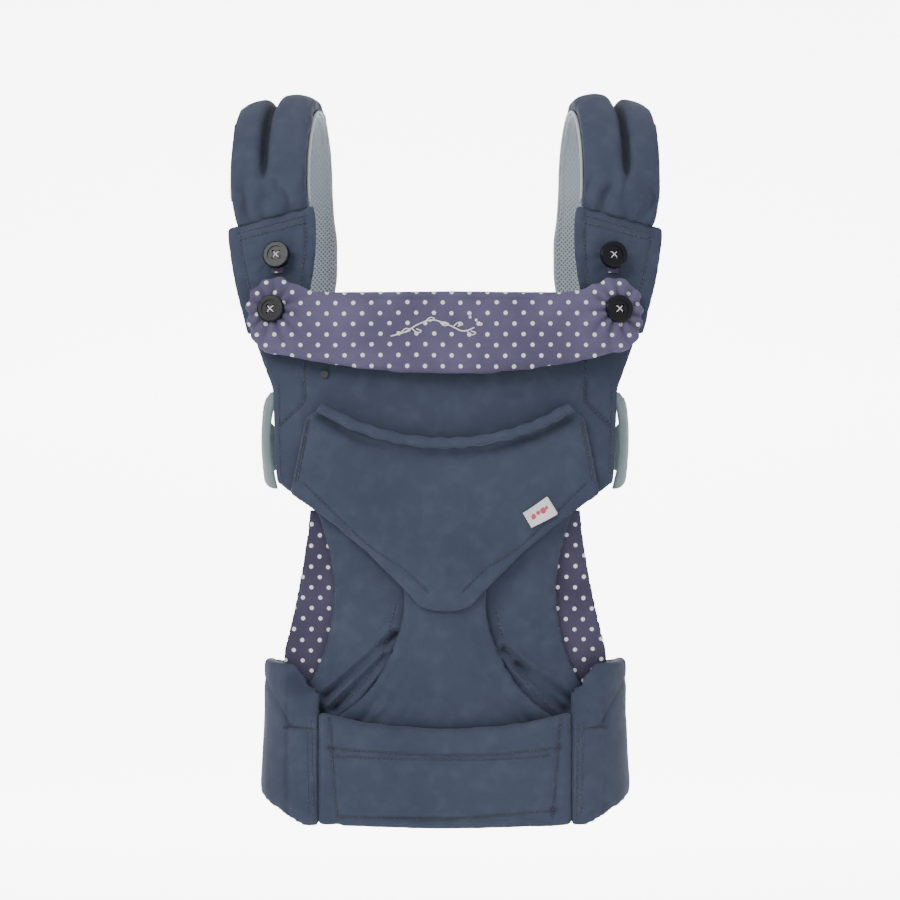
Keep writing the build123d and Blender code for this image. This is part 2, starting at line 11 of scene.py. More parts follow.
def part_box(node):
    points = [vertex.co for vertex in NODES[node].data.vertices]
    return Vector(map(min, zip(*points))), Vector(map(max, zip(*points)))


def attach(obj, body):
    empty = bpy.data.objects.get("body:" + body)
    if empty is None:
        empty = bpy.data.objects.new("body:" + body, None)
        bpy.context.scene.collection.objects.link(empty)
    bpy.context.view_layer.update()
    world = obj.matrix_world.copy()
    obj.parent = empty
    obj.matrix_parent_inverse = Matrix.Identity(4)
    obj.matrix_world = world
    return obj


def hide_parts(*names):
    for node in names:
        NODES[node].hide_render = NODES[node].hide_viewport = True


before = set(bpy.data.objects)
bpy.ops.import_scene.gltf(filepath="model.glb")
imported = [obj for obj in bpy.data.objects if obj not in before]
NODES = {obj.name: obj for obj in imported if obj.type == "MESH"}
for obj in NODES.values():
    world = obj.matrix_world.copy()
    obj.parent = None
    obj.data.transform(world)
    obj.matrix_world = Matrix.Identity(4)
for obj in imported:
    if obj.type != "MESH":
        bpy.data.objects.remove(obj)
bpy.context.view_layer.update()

bl_info = {
    "name": "Soft Baby Carrier",
    "version": (1, 0, 0),
    "blender": (4, 5, 0),
    "location": "View3D > Sidebar > Carrier",
    "description": "Builds the cloth, padding, trim and stage of a soft baby carrier",
    "category": "Add Mesh",
}

SIDES = {"left": -1, "right": 1}
MM = 0.001

# the panel's front surface: a barrel swept round a far upright axis (metres)
WRAP_AXIS_Y = 0.700
FRONT_RADIUS = 0.822
BULGE_RADIUS = 1.500
BULGE_Z = 0.330


def front_y(x, z, depth=0.0):
    """Y of the panel's surface, depth metres behind its front."""
    reach = FRONT_RADIUS - BULGE_RADIUS + sqrt(BULGE_RADIUS**2 - (z - BULGE_Z) ** 2) - depth
    return WRAP_AXIS_Y - sqrt(reach**2 - x**2)


# ---- settings ------------------------------------------------------------------------
class CarrierClothSettings(bpy.types.PropertyGroup):
    twill: bpy.props.FloatVectorProperty(
        name="Twill", description="Main cloth", subtype="COLOR", default=(0.035, 0.045, 0.074)
    )
    twill_light: bpy.props.FloatVectorProperty(
        name="Worn twill",
        description="Main cloth where it is rubbed",
        subtype="COLOR",
        default=(0.057, 0.069, 0.106),
    )
    print_ground: bpy.props.FloatVectorProperty(
        name="Print ground",
        description="Ground of the dotted cloth",
        subtype="COLOR",
        default=(0.100, 0.089, 0.160),
    )
    print_dot: bpy.props.FloatVectorProperty(
        name="Print dots", description="Dots of the dotted cloth", subtype="COLOR", default=(0.86, 0.83, 0.80)
    )
    mesh_grey: bpy.props.FloatVectorProperty(
        name="Mesh lining",
        description="Air mesh inside the straps",
        subtype="COLOR",
        default=(0.27, 0.31, 0.335),
    )
    dot_pitch: bpy.props.FloatProperty(
        name="Dot pitch", description="Between dots of one row", subtype="DISTANCE", default=0.0178
    )
    dot_row: bpy.props.FloatProperty(
        name="Row pitch", description="Between rows of dots", subtype="DISTANCE", default=0.0106
    )
    dot_radius: bpy.props.FloatProperty(
        name="Dot radius", description="Radius of a printed dot", subtype="DISTANCE", default=0.0021
    )


class CarrierShapeSettings(bpy.types.PropertyGroup):
    fine_cell: bpy.props.FloatProperty(
        name="Panel cell", description="Mesh cell of the panels", subtype="DISTANCE", default=0.0024
    )
    pad_cell: bpy.props.FloatProperty(
        name="Pad cell", description="Mesh cell of the padded pieces", subtype="DISTANCE", default=0.0036
    )
    pressure: bpy.props.FloatProperty(name="Pressure", description="Filling pressure of the pads", default=4.0)
    stitch: bpy.props.FloatProperty(
        name="Stitch", description="Length of one stitch", subtype="DISTANCE", default=0.0030
    )


class CarrierStageSettings(bpy.types.PropertyGroup):
    distance: bpy.props.FloatProperty(
        name="Camera distance", description="From the panel", subtype="DISTANCE", default=2.3
    )
    field: bpy.props.FloatProperty(
        name="Field", description="Width of the view at the panel", subtype="DISTANCE", default=0.9
    )
    aim_x: bpy.props.FloatProperty(name="Aim X", description="Aim point", subtype="DISTANCE", default=0.005)
    aim_z: bpy.props.FloatProperty(name="Aim Z", description="Aim point", subtype="DISTANCE", default=0.381)


def cloth():
    return bpy.context.scene.carrier_cloth


def shape():
    return bpy.context.scene.carrier_shape


# ---- shader building -----------------------------------------------------------------
class Value:
    """A shader socket that takes part in Python expressions."""

    def __init__(self, tree, socket):
        self.tree = tree
        self.socket = socket

    def math(self, operation, *others):
        node = self.tree.nodes.new("ShaderNodeMath")
        node.operation = operation
        for place, term in enumerate((self, *others)):
            connect(self.tree, term, node.inputs[place])
        return Value(self.tree, node.outputs[0])

    def __add__(self, other):
        return self.math("ADD", other)

    def __sub__(self, other):
        return self.math("SUBTRACT", other)

    def __rsub__(self, other):
        return constant(self.tree, other).math("SUBTRACT", self)

    def __mul__(self, other):
        return self.math("MULTIPLY", other)

    def __truediv__(self, other):
        return self.math("DIVIDE", other)

    __radd__ = __add__
    __rmul__ = __mul__


def constant(tree, number):
    node = tree.nodes.new("ShaderNodeValue")
    node.outputs[0].default_value = number
    return Value(tree, node.outputs[0])


def connect(tree, term, socket):
    if isinstance(term, Value):
        tree.links.new(term.socket, socket)
    elif isinstance(term, bpy.types.NodeSocket):
        tree.links.new(term, socket)
    else:
        socket.default_value = term


class Shader:
    """One material and the few node calls that its recipe needs."""

    def __init__(self, name, roughness, **sockets):
        self.material = bpy.data.materials.new(name)
        self.material.use_nodes = True
        self.tree = self.material.node_tree
        self.surface = self.tree.nodes["Principled BSDF"]
        self.surface.inputs["Roughness"].default_value = roughness
        for label, number in sockets.items():
            self.surface.inputs[label.replace("_", " ")].default_value = number
        self.place = self.node("ShaderNodeTexCoord").outputs["Object"]

    def node(self, kind, settings=None, **inputs):
        node = self.tree.nodes.new(kind)
        for label, setting in (settings or {}).items():
            setattr(node, label, setting)
        for label, term in inputs.items():
            connect(self.tree, term, node.inputs[label.replace("_", " ")])
        return node

    def value(self, socket):
        return Value(self.tree, socket)

    def axes(self):
        split = self.node("ShaderNodeSeparateXYZ", Vector=self.place)
        return [self.value(out) for out in split.outputs]

    def noise(self, scale, detail=3.0, place=None):
        node = self.node(
            "ShaderNodeTexNoise", Scale=scale, Detail=detail, Vector=place or self.place
        )
        return self.value(node.outputs[0])

    def ramp(self, term, low, high):
        node = self.node("ShaderNodeMapRange", {"interpolation_type": "SMOOTHSTEP"}, Value=term)
        node.inputs["From Min"].default_value = low
        node.inputs["From Max"].default_value = high
        return self.value(node.outputs[0])

    def mix(self, factor, one, two):
        node = self.tree.nodes.new("ShaderNodeMix")
        node.data_type = "RGBA"
        connect(self.tree, factor, node.inputs["Factor"])
        for socket, term in ((node.inputs[6], one), (node.inputs[7], two)):
            if isinstance(term, Value):
                connect(self.tree, term, socket)
            else:
                socket.default_value = (*term[:3], 1.0)
        return Value(self.tree, node.outputs[2])

    def paint_crease_shade(self, term, crease_shade_colour):
        """term, with painted shade mixed in where the cloth was pressed in: the groove depth darkens it towards
        the shade colour.
        """
        depth = self.node("ShaderNodeAttribute", {"attribute_name": "crease"}).outputs["Fac"]
        return self.mix(self.value(depth) * 0.8, term, crease_shade_colour)

    def colour(self, term):
        if isinstance(term, Value):
            connect(self.tree, term, self.surface.inputs["Base Color"])
        else:
            self.surface.inputs["Base Color"].default_value = (*term[:3], 1.0)

    def roughness(self, term):
        connect(self.tree, term, self.surface.inputs["Roughness"])

    def bump(self, height, distance, strength=1.0):
        node = self.node("ShaderNodeBump", Height=height, Distance=distance, Strength=strength)
        connect(self.tree, node.outputs[0], self.surface.inputs["Normal"])


def twill_weave(shader, wale):
    """Height of a diagonal twill, 0 to 1, in the piece's own coordinates."""
    x, y, z = shader.axes()
    slope = (x + y) * 0.8 + z
    ribs = (slope * (2 * pi / wale)).math("SINE") * 0.5 + 0.5
    cross = ((x + y - z) * (2 * pi / (wale * 0.7))).math("SINE") * 0.5 + 0.5
    return ribs * 0.7 + cross * 0.3


def make_twill(name, dark, light):
    shader = Shader(name, 0.88, Sheen_Weight=0.06, Sheen_Roughness=0.5, Specular_IOR_Level=0.2)
    weave = twill_weave(shader, 0.0013)
    cloudy = shader.ramp(shader.noise(9.0, 4.0), 0.3, 0.72)
    rubbed = shader.ramp(shader.noise(55.0, 5.0), 0.42, 0.75) * 0.35
    flecks = shader.noise(900.0, 2.0)
    tone = cloudy * 0.35 + rubbed + weave * 0.12 + flecks * 0.18
    # painted shade: the near-black colour the cloth is darkened to in its creases and seams
    crease_shade_colour = [channel * 0.22 for channel in dark]
    shader.colour(shader.paint_crease_shade(shader.mix(tone, dark, light), crease_shade_colour))
    shader.roughness(0.94 - tone * 0.12)
    shader.bump(weave * 0.6 + flecks * 0.5 + shader.noise(160.0, 3.0) * 0.8, 0.0005, 0.6)
    return shader.material


def make_dotted(name, ground, dot, settings):
    """Printed cotton: staggered rows of small dots on a coloured ground."""
    shader = Shader(name, 0.86, Sheen_Weight=0.06, Sheen_Roughness=0.5, Specular_IOR_Level=0.2)
    wobble = shader.noise(14.0, 2.0) * 0.004
    x, _, z = shader.axes()
    x = x + wobble
    z = z + wobble
    masks = []
    for shift in (0.0, 0.5):
        across = ((x / settings.dot_pitch + shift).math("FRACT") - 0.5) * settings.dot_pitch
        along = ((z / (2 * settings.dot_row) + shift).math("FRACT") - 0.5) * (2 * settings.dot_row)
        reach = (across * across + along * along).math("SQRT")
        masks.append(1.0 - shader.ramp(reach, settings.dot_radius * 0.82, settings.dot_radius * 1.15))
    dots = masks[0].math("MAXIMUM", masks[1])
    weave = twill_weave(shader, 0.0009)
    cloudy = shader.ramp(shader.noise(16.0, 4.0), 0.3, 0.75)
    dark = [channel * 0.72 for channel in ground]
    lit = shader.mix(cloudy * 0.6 + weave * 0.25, dark, [channel * 1.25 for channel in ground])
    printed = shader.mix(dots * (0.8 + weave * 0.15), lit, dot)
    # painted shade: the print is darkened towards a near-black ground in its creases
    shader.colour(shader.paint_crease_shade(printed, [channel * 0.2 for channel in ground]))
    shader.roughness(0.9 - dots * 0.1)
    shader.bump(weave * 0.5 + shader.noise(240.0, 3.0) * 0.7, 0.0004, 0.5)
    return shader.material


def make_mesh(name, colour):
    """Air mesh: staggered open cells, plainer up on the shoulder."""
    shader = Shader(name, 0.8, Sheen_Weight=0.1, Specular_IOR_Level=0.3)
    x, y, z = shader.axes()
    rows = z + y * 0.9
    masks = []
    for shift in (0.0, 0.5):
        across = ((x / 0.0044 + shift).math("FRACT") - 0.5) * 0.0044
        along = ((rows / 0.0050 + shift).math("FRACT") - 0.5) * 0.0050
        reach = (across * across + along * along).math("SQRT")
        masks.append(1.0 - shader.ramp(reach, 0.0007, 0.0014))
    cells = masks[0].math("MAXIMUM", masks[1]) * (1.0 - shader.ramp(z, 0.60, 0.68) * 0.8)
    cloudy = shader.noise(30.0, 3.0)
    fine = shader.noise(1200.0, 2.0)
    dark = [channel * 0.35 for channel in colour]
    pale = [min(channel * 1.3, 1.0) for channel in colour]
    shader.colour(shader.mix(1.0 - cells * 0.75 - fine * 0.25 + cloudy * 0.1, dark, pale))
    shader.bump(1.0 - cells, 0.0009, 0.8)
    return shader.material


def make_webbing(name, colour, pitch=0.0016):
    shader = Shader(name, 0.72, Sheen_Weight=0.25, Specular_IOR_Level=0.35)
    x, y, z = shader.axes()
    ribs = ((x * 0.8 + y * 0.8 + z) * (2 * pi / pitch)).math("SINE") * 0.5 + 0.5
    cross = ((x - z) * (2 * pi / (pitch * 0.6))).math("SINE") * 0.5 + 0.5
    weave = ribs * 0.7 + cross * 0.3
    dark = [channel * 0.6 for channel in colour]
    pale = [channel * 1.5 for channel in colour]
    shader.colour(shader.mix(weave * 0.7 + shader.noise(60.0) * 0.3, dark, pale))
    shader.bump(weave, 0.0004, 0.7)
    return shader.material


def make_plastic(name, colour, roughness, grain):
    shader = Shader(name, roughness, Coat_Weight=0.15, Coat_Roughness=0.35)
    speck = shader.noise(grain, 3.0)
    smudge = shader.ramp(shader.noise(70.0, 3.0), 0.4, 0.7)
    shader.colour(shader.mix(speck * 0.5, [c * 0.8 for c in colour], [c * 1.6 for c in colour]))
    shader.roughness(roughness + smudge * 0.12)
    shader.bump(speck, 0.0002, 0.35)
    return shader.material


def make_resin(name, colour):
    shader = Shader(name, 0.26, Specular_IOR_Level=0.22)
    swirl = shader.noise(120.0, 4.0)
    shader.colour(shader.mix(swirl, colour, [c * 1.8 for c in colour]))
    shader.roughness(0.24 + shader.ramp(shader.noise(300.0), 0.55, 0.8) * 0.15)
    return shader.material


def make_thread(name, colour):
    shader = Shader(name, 0.6, Sheen_Weight=0.4, Specular_IOR_Level=0.4)
    twist = shader.noise(1400.0, 2.0)
    shader.colour(shader.mix(twist, [c * 0.65 for c in colour], [min(1.0, c * 1.2) for c in colour]))
    shader.bump(twist, 0.0002, 0.6)
    return shader.material


MATERIALS = {}


def make_materials():
    settings = cloth()
    MATERIALS.update(
        twill=make_twill("slate_twill", settings.twill, settings.twill_light),
        dotted=make_dotted("dotted_cotton", settings.print_ground, settings.print_dot, settings),
        lining=make_dotted(
            "dotted_lining", [c * 0.62 for c in settings.print_ground], settings.print_dot, settings
        ),
        mesh=make_mesh("air_mesh", settings.mesh_grey),
        wing=make_webbing("wing_cloth", (0.12, 0.17, 0.18)),
        webbing=make_webbing("black_webbing", (0.020, 0.024, 0.034)),
        piping=make_webbing("pale_piping", (0.46, 0.49, 0.51), 0.0011),
        plastic=make_plastic("buckle_acetal", (0.012, 0.013, 0.015), 0.42, 900.0),
        resin=make_resin("button_resin", (0.0015, 0.002, 0.004)),
        foam=make_plastic("padding", (0.55, 0.55, 0.52), 0.9, 400.0),
        tape=make_webbing("label_tape", (0.78, 0.76, 0.75), 0.0008),
        motif=make_thread("motif_thread", (0.55, 0.06, 0.12)),
        # navy thread, darker than the cloth: its own colour plus painted shade for the seam grooves
        thread=make_thread("navy_thread_seam_shade", (0.010, 0.013, 0.022)),
        silver=make_thread("silver_thread", (0.78, 0.70, 0.72)),
    )


# ---- mesh helpers --------------------------------------------------------------------
def finish_piece(bm, name, material, body, smooth=True):
    """A new object from bm, riding on its body."""
    mesh = bpy.data.meshes.new(name)
    bm.to_mesh(mesh)
    bm.free()
    for polygon in mesh.polygons:
        polygon.use_smooth = smooth
    piece = bpy.data.objects.new(name, mesh)
    bpy.context.scene.collection.objects.link(piece)
    mesh.materials.append(MATERIALS[material])
    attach(piece, body)
    return piece


def node_copy(*nodes):
    """The CAD meshes of some nodes in one bmesh, with their loose triangles merged."""
    bm = bmesh.new()
    for node in nodes:
        bm.from_mesh(NODES[node].data)
    bmesh.ops.remove_doubles(bm, verts=bm.verts, dist=0.02 * MM)
    return bm


def applied(piece):
    """Bakes a piece's modifiers into its mesh."""
    graph = bpy.context.evaluated_depsgraph_get()
    mesh = bpy.data.meshes.new_from_object(piece.evaluated_get(graph))
    piece.modifiers.clear()
    piece.data = mesh


def remeshed(nodes, cell, pressure=0.0, cap=0.0):
    """An even mesh over the solids of some nodes, swollen by a short cloth run if asked."""
    bm = node_copy(*nodes)
    mesh = bpy.data.meshes.new("work")
    bm.to_mesh(mesh)
    bm.free()
    work = bpy.data.objects.new("work", mesh)
    bpy.context.scene.collection.objects.link(work)
    modifier = work.modifiers.new("cells", "REMESH")
    modifier.mode = "VOXEL"
    modifier.voxel_size = cell
    applied(work)
    if pressure:
        swell(work, pressure, cap)
    bm = bmesh.new()
    bm.from_mesh(work.data)
    bpy.data.objects.remove(work)
    return bm


def swell(work, pressure, cap):
    """Fills a piece with air for a few frames; no point moves further than cap."""
    start = [vertex.co.copy() for vertex in work.data.vertices]
    modifier = work.modifiers.new("fill", "CLOTH")
    settings = modifier.settings
    settings.use_pressure = True
    settings.uniform_pressure_force = pressure
    settings.effector_weights.gravity = 0.0
    settings.quality = 4
    settings.mass = 0.3
    settings.tension_stiffness = 25
    settings.compression_stiffness = 25
    settings.shear_stiffness = 8
    settings.bending_stiffness = 0.6
    modifier.collision_settings.use_collision = False
    modifier.collision_settings.use_self_collision = False
    modifier.point_cache.frame_start = 1
    modifier.point_cache.frame_end = 14
    scene = bpy.context.scene
    for step in range(1, 15):
        scene.frame_set(step)
    applied(work)
    scene.frame_set(1)
    for vertex, origin in zip(work.data.vertices, start):
        move = vertex.co - origin
        if move.length > cap:
            vertex.co = origin + move.normalized() * cap


def relax(bm, passes, factor=0.5):
    for _ in range(passes):
        bmesh.ops.smooth_vert(
            bm, verts=bm.verts, factor=factor, use_axis_x=True, use_axis_y=True, use_axis_z=True
        )


def sculpt(bm, push):
    """Moves each point along its normal by push(point, normal) metres and notes how far in it went, as the mask
    for the painted shade in creases.
    """
    bm.normal_update()
    crease = bm.verts.layers.float.get("crease") or bm.verts.layers.float.new("crease")
    moves = [(vertex, push(vertex.co, vertex.normal)) for vertex in bm.verts]
    for vertex, amount in moves:
        vertex.co += vertex.normal * amount
        # how far in the point went, 0 to 1: where the shaders paint crease shade
        vertex[crease] = min(1.0, max(0.0, -(amount + 0.0007) / 0.0028))
    bm.normal_update()


def meet(bm, direction, target, across=2, reach=0.012, where=None):
    """Stretches one end of a piece until all of it stands at target along direction.

    The need is measured in 8 mm bands along the axis across, so a wavy end comes out even.
    """
    direction = Vector(direction).normalized()
    verts = [vertex for vertex in bm.verts if where is None or where(vertex.co)]
    start = min(vertex.co[across] for vertex in verts)
    band = 0.008
    furthest = {}
    for vertex in verts:
        key = int((vertex.co[across] - start) / band)
        furthest[key] = max(furthest.get(key, -9.0), vertex.co.dot(direction))
    overall = max(furthest.values())
    for vertex in verts:
        spot = (vertex.co[across] - start) / band - 0.5
        low = max(0, int(spot))
        one = furthest.get(low, overall)
        two = furthest.get(low + 1, one)
        end = one + (two - one) * min(1.0, max(0.0, spot - low))
        share = min(1.0, 1 + (vertex.co.dot(direction) - end) / reach)
        if share > 0 and abs(target - end) < 0.010:
            vertex.co += direction * (target - end) * share


def smooth_share(number):
    number = min(1.0, max(0.0, number))
    return number * number * (3 - 2 * number)


def bell(distance, width):
    """1 at distance 0, falling smoothly to about 0 at width."""
    return exp(-((distance / (0.5 * width)) ** 2))


def to_line(x, z, line):
    """Distance in X and Z from a point to a line of points."""
    best = 1e9
    for (ax, az), (bx, bz) in zip(line, line[1:]):
        dx, dz = bx - ax, bz - az
        share = ((x - ax) * dx + (z - az) * dz) / (dx * dx + dz * dz)
        share = min(1.0, max(0.0, share))
        best = min(best, hypot(x - ax - share * dx, z - az - share * dz))
    return best


def both_sides(line):
    """A line in millimetres and its mirror image, in metres."""
    return [
        [(x * MM, z * MM) for x, z in line],
        [(-x * MM, z * MM) for x, z in line],
    ]


def mm_line(line):
    return [(x * MM, z * MM) for x, z in line]


def curve_points(line, step):
    """Evenly spaced points and directions along a smooth curve through a line's points."""
    dense = []
    padded = [line[0], *line, line[-1]]
    for a, b, c, d in zip(padded, padded[1:], padded[2:], padded[3:]):
        for index in range(12):
            t = index / 12
            dense.append(
                tuple(
                    0.5 * (2 * b[k] + (c[k] - a[k]) * t + (2 * a[k] - 5 * b[k] + 4 * c[k] - d[k]) * t * t
                    + (3 * b[k] - a[k] - 3 * c[k] + d[k]) * t**3)
                    for k in range(len(b))
                )
            )
    dense.append(tuple(line[-1]))
    spots = []
    carry = 0.0
    for a, b in zip(dense, dense[1:]):
        a, b = Vector(a), Vector(b)
        span = (b - a).length
        if span < 1e-7:
            continue
        while carry <= span:
            spots.append((a.lerp(b, carry / span), (b - a) / span))
            carry += step
        carry -= span
    return spots


def wrinkle(co, scale, stretch=(1.0, 1.0, 1.0), seed=0.0):
    """Soft creases: ridged noise from -1 to 1."""
    place = Vector((co.x * stretch[0] * scale + seed, co.y * stretch[1] * scale, co.z * stretch[2] * scale))
    return noise.noise(place) * 0.65 + noise.noise(place * 2.1) * 0.35


def fold(x, z, line, depth, width):
    """A crease along a line, with a soft ridge beside it."""
    distance = to_line(x, z, line)
    return 0.6 * depth * bell(distance - width, width) - depth * bell(distance, width)


SKINS = {}


def remember(piece):
    """Keeps a finished cloth's surface, so that trim can lie on it."""
    mesh = piece.data
    SKINS[piece.name] = BVHTree.FromPolygons(
        [vertex.co for vertex in mesh.vertices], [polygon.vertices[:] for polygon in mesh.polygons]
    )


def laid_on(names, lift):
    """A function from (x, z) to the foremost point of some cloths, lifted off it."""

    def place(x, z):
        found = []
        for name in names:
            hit = SKINS[name].ray_cast(Vector((x, -0.5, z)), Vector((0, 1, 0)))[0]
            if hit:
                found.append(hit.y)
        return Vector((x, (min(found) if found else front_y(x, z)) - lift, z))

    return place


def stitches(name, lines, skins, body="carrier", material="thread", radius=0.0005):
    """Short raised stitches on some cloths, along (x, z) lines."""
    bm = bmesh.new()
    length = shape().stitch
    place = laid_on(skins, radius * 0.4)
    for line in lines:
        for spot, direction in curve_points(line, length * 1.5):
            half = direction * length / 2
            start = place(spot.x - half.x, spot.y - half.y)
            end = place(spot.x + half.x, spot.y + half.y)
            turn = (end - start).to_track_quat("Z", "Y").to_matrix().to_4x4()
            bmesh.ops.create_cone(
                bm, cap_ends=True, segments=5, radius1=radius, radius2=radius, depth=(end - start).length,
                matrix=Matrix.Translation((start + end) / 2) @ turn,
            )
    return finish_piece(bm, name, material, body)


def tube(bm, points, radius, sides=8):
    """A closed tube along 3-D points."""
    spots = curve_points(points, radius * 1.6)
    rings = []
    for spot, direction in spots:
        turn = direction.to_track_quat("Z", "Y").to_matrix().to_4x4()
        ring = bmesh.ops.create_circle(
            bm, segments=sides, radius=radius, matrix=Matrix.Translation(spot) @ turn
        )
        rings.append([e for e in {edge for vertex in ring["verts"] for edge in vertex.link_edges}])
    for one, two in zip(rings, rings[1:]):
        bmesh.ops.bridge_loops(bm, edges=one + two)
    for ring in (rings[0], rings[-1]):
        bmesh.ops.contextual_create(bm, geom=ring)
    bmesh.ops.recalc_face_normals(bm, faces=bm.faces)


# ---- panels --------------------------------------------------------------------------
CHEST_SEAMS = both_sides([(-142, 452), (-142, 430), (-166, 407)])
SHIELD_STITCH = both_sides([(-140, 346), (-79, 288), (-42, 263), (-18, 240)])
SHIELD_BAND = both_sides([(-137, 410), (-148, 349)])
HEM_REACH = 0.6432
BASE_SEAM_Z = 0.4997
UPPER_BUTTON = (0.170, 0.578)
POCKET_LINE = mm_line([(-126, 424), (-87, 400), (-45, 390), (0, 387.5), (47, 391), (90, 405), (126, 423)])


class CARRIER_OT_panels(bpy.types.Operator):
    """Chest panel, shield and seat: padded cloth with seams and soft creases"""

    bl_idname = "carrier.panels"
    bl_label = "Panels"

    def execute(self, context):
        cell = shape().fine_cell

        def chest(co, normal):
            if normal.y > -0.2:
                return 0.0
            push = 0.0012 * wrinkle(co, 14, (0.5, 1, 1.6)) + 0.0006 * wrinkle(co, 40, seed=4)
            for line in CHEST_SEAMS:
                push -= 0.0016 * bell(to_line(co.x, co.z, line), 0.006)
            tension = bell(co.z - 0.436, 0.016)
            push += 0.0012 * tension * sin(co.x * 70) * (1 - abs(co.x) * 4)
            return push

        bm = remeshed(["chest_panel"], cell)
        relax(bm, 3)
        sculpt(bm, chest)
        relax(bm, 1)
        for side in SIDES.values():
            meet(
                bm, (0, 0, 1), BASE_SEAM_Z + 0.0008, across=0,
                where=lambda co: side * co.x > 0.140 and co.z > 0.485,
            )
        piece = finish_piece(bm, "chest_panel_cloth", "twill", "carrier")
        remember(piece)
        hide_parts("chest_panel")

        def shield(co, normal):
            if normal.y > -0.2:
                return 0.0
            push = 0.0010 * wrinkle(co, 16, (0.7, 1, 1.2), 9) + 0.0004 * wrinkle(co, 45, seed=2)
            push -= 0.0022 * bell(to_line(co.x, co.z + 0.010, POCKET_LINE), 0.009)
            push += 0.0016 * bell(to_line(co.x, co.z + 0.024, POCKET_LINE), 0.014) * max(0.0, 1 - abs(co.x) * 9)
            for line in SHIELD_STITCH + SHIELD_BAND:
                push -= 0.0013 * bell(to_line(co.x, co.z, line), 0.005)
            crown = max(0.0, 1 - (hypot(co.x / 0.12, (co.z - 0.33) / 0.09)) ** 2)
            return push + 0.0022 * crown

        bm = remeshed(["shield_panel"], cell)
        relax(bm, 3)
        sculpt(bm, shield)
        relax(bm, 1)
        piece = finish_piece(bm, "shield_cloth", "twill", "carrier")
        remember(piece)
        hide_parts("shield_panel")

        def seat(co, normal):
            if normal.y > -0.2:
                return 0.0
            lower = max(0.0, (0.235 - co.z) / 0.13)
            push = 0.0012 * wrinkle(co, 15, (1, 1, 0.7), 3)
            crown = max(0.0, 1 - (co.x / (0.045 + 0.05 * lower)) ** 2)
            side = abs(co.x) - (0.040 + 0.06 * lower**2)
            pleat = bell(side + 0.012, 0.012) + 0.7 * bell(side + 0.028, 0.012)
            return push + 0.005 * crown * min(1.0, lower * 2) - 0.0030 * pleat * lower

        bm = remeshed(["seat_panel"], cell)
        relax(bm, 3)
        sculpt(bm, seat)
        relax(bm, 1)
        piece = finish_piece(bm, "seat_cloth", "twill", "carrier")
        remember(piece)
        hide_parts("seat_panel")
        return {"FINISHED"}


PLEATS = {
    "left": [
        mm_line([(-49, 196), (-88, 160), (-122, 131)]),
        mm_line([(-60, 174), (-92, 142), (-112, 119)]),
        mm_line([(-58, 154), (-78, 128), (-88, 112)]),
    ],
    "right": [
        mm_line([(58, 180), (96, 150), (131, 125)]),
        mm_line([(72, 164), (104, 134), (123, 118)]),
    ],
}


